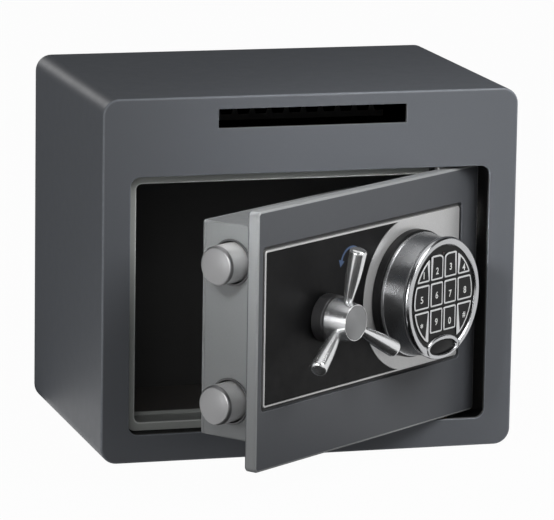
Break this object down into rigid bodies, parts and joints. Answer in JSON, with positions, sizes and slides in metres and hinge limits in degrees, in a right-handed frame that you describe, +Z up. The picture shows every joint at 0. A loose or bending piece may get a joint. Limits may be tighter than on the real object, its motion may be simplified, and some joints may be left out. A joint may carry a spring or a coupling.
{
  "type": "drop safe",
  "caption": "Small steel drop safe with a letter slot, a swing-out door on hidden hinges, a round push-button lock dial, a spoked handle and round sliding bolts.",
  "frame": {"origin": "centre of the cabinet's footprint, on the surface that it stands on", "axes": "+Z up, -Y out of the front of the cabinet, +X to the right seen from the front"},
  "size_m": [0.3, 0.3475, 0.257],
  "materials": {
    "cabinet_paint": "fine-textured grey powder coat",
    "door_paint": "fine-textured grey powder coat",
    "jamb_paint": "light grey paint over folded steel",
    "case_paint": "smooth light grey paint",
    "interior_paint": "matt black paint",
    "zinc_steel": "dull zinc-plated steel",
    "bright_steel": "turned bright steel",
    "chrome": "polished chrome plating",
    "satin_silver": "satin brushed silver",
    "black_plastic": "satin black moulding",
    "key_plastic": "black with silver key outlines and white digits",
    "dark_felt": "brown-black felt",
    "bronze": "oiled bronze",
    "lamp_red": "unlit dark red lens"
  },
  "bodies": {
    "cabinet": {"cabinet_shell": "cabinet_paint", "back_panel": "cabinet_paint", "jamb_left": "jamb_paint", "jamb_top": "jamb_paint", "jamb_sill": "jamb_paint", "slot_chute": "interior_paint", "anti_fish_baffle": "interior_paint", "hinge_bracket_top": "zinc_steel", "hinge_bracket_bottom": "zinc_steel", "hinge_bush_top": "bronze", "hinge_bush_bottom": "bronze", "floor_mat": "dark_felt"},
    "door": {"door_plate": "door_paint", "fascia_plate": "satin_silver", "fascia_panel": "black_plastic", "hinge_lug_top": "door_paint", "hinge_lug_bottom": "door_paint", "hinge_pin_top": "bright_steel", "hinge_pin_bottom": "bright_steel", "bolt_case": "case_paint", "case_cover": "case_paint", "bolt_collar_upper": "bright_steel", "bolt_collar_lower": "bright_steel", "guide_stud_upper": "bright_steel", "guide_stud_lower": "bright_steel", "hard_plate": "zinc_steel", "lock_body": "satin_silver", "keypad_cable": "black_plastic", "handle_rosette": "black_plastic", "keypad_base": "black_plastic", "keypad_housing": "chrome", "keypad_battery": "zinc_steel", "keypad_face": "key_plastic", "keypad_badge": "black_plastic", "status_light": "lamp_red"},
    "handle": {"handle_hub": "chrome", "handle_cap": "satin_silver", "spoke_top": "chrome", "spoke_left": "chrome", "spoke_right": "chrome", "handle_spindle": "bright_steel", "handle_crank": "zinc_steel"},
    "bolts": {"bolt_carriage": "zinc_steel", "bolt_upper": "bright_steel", "bolt_lower": "bright_steel", "bolt_screw_upper": "zinc_steel", "bolt_screw_lower": "zinc_steel"},
    "lock_bolt": {"lock_bolt": "bright_steel"},
    "key_1": {"key_1": "key_plastic"},
    "key_2": {"key_2": "key_plastic"},
    "key_3": {"key_3": "key_plastic"},
    "key_4": {"key_4": "key_plastic"},
    "key_5": {"key_5": "key_plastic"},
    "key_6": {"key_6": "key_plastic"},
    "key_7": {"key_7": "key_plastic"},
    "key_8": {"key_8": "key_plastic"},
    "key_star": {"key_star": "key_plastic"},
    "key_9": {"key_9": "key_plastic"},
    "key_0": {"key_0": "key_plastic"},
    "key_hash": {"key_hash": "key_plastic"}
  },
  "joints": [
    {"name": "door_swing", "type": "hinge", "parent": "cabinet", "child": "door", "pos_m": [0.098, -0.091, 0.111], "axis": [0, 0, 1], "range_deg": [-36.3, 43.7]},
    {"name": "handle_turn", "type": "hinge", "parent": "door", "child": "handle", "pos_m": [-0.01444, -0.19097, 0.117], "axis": [-0.592, 0.8059, 0], "range_deg": [0, 75]},
    {"name": "bolt_throw", "type": "slide", "parent": "door", "child": "bolts", "axis": [-0.8059, -0.592, 0], "range_m": [0, 0.016]},
    {"name": "lock_bolt_slide", "type": "slide", "parent": "door", "child": "lock_bolt", "axis": [-0.8059, -0.592, 0], "range_m": [0, 0.015]},
    {"name": "press_1", "type": "slide", "parent": "door", "child": "key_1", "axis": [-0.592, 0.8059, 0], "range_m": [0, 0.0008], "stiffness_N_per_m": 300},
    {"name": "press_2", "type": "slide", "parent": "door", "child": "key_2", "axis": [-0.592, 0.8059, 0], "range_m": [0, 0.0008], "stiffness_N_per_m": 300},
    {"name": "press_3", "type": "slide", "parent": "door", "child": "key_3", "axis": [-0.592, 0.8059, 0], "range_m": [0, 0.0008], "stiffness_N_per_m": 300},
    {"name": "press_4", "type": "slide", "parent": "door", "child": "key_4", "axis": [-0.592, 0.8059, 0], "range_m": [0, 0.0008], "stiffness_N_per_m": 300},
    {"name": "press_5", "type": "slide", "parent": "door", "child": "key_5", "axis": [-0.592, 0.8059, 0], "range_m": [0, 0.0008], "stiffness_N_per_m": 300},
    {"name": "press_6", "type": "slide", "parent": "door", "child": "key_6", "axis": [-0.592, 0.8059, 0], "range_m": [0, 0.0008], "stiffness_N_per_m": 300},
    {"name": "press_7", "type": "slide", "parent": "door", "child": "key_7", "axis": [-0.592, 0.8059, 0], "range_m": [0, 0.0008], "stiffness_N_per_m": 300},
    {"name": "press_8", "type": "slide", "parent": "door", "child": "key_8", "axis": [-0.592, 0.8059, 0], "range_m": [0, 0.0008], "stiffness_N_per_m": 300},
    {"name": "press_star", "type": "slide", "parent": "door", "child": "key_star", "axis": [-0.592, 0.8059, 0], "range_m": [0, 0.0008], "stiffness_N_per_m": 300},
    {"name": "press_9", "type": "slide", "parent": "door", "child": "key_9", "axis": [-0.592, 0.8059, 0], "range_m": [0, 0.0008], "stiffness_N_per_m": 300},
    {"name": "press_0", "type": "slide", "parent": "door", "child": "key_0", "axis": [-0.592, 0.8059, 0], "range_m": [0, 0.0008], "stiffness_N_per_m": 300},
    {"name": "press_hash", "type": "slide", "parent": "door", "child": "key_hash", "axis": [-0.592, 0.8059, 0], "range_m": [0, 0.0008], "stiffness_N_per_m": 300}
  ],
  "couplings": [
    {"joint": "bolt_throw", "follows": "handle_turn", "m_per_rad": 0.012223},
    {"joint": "lock_bolt_slide", "follows": "handle_turn", "m_per_rad": 0.011459}
  ]
}
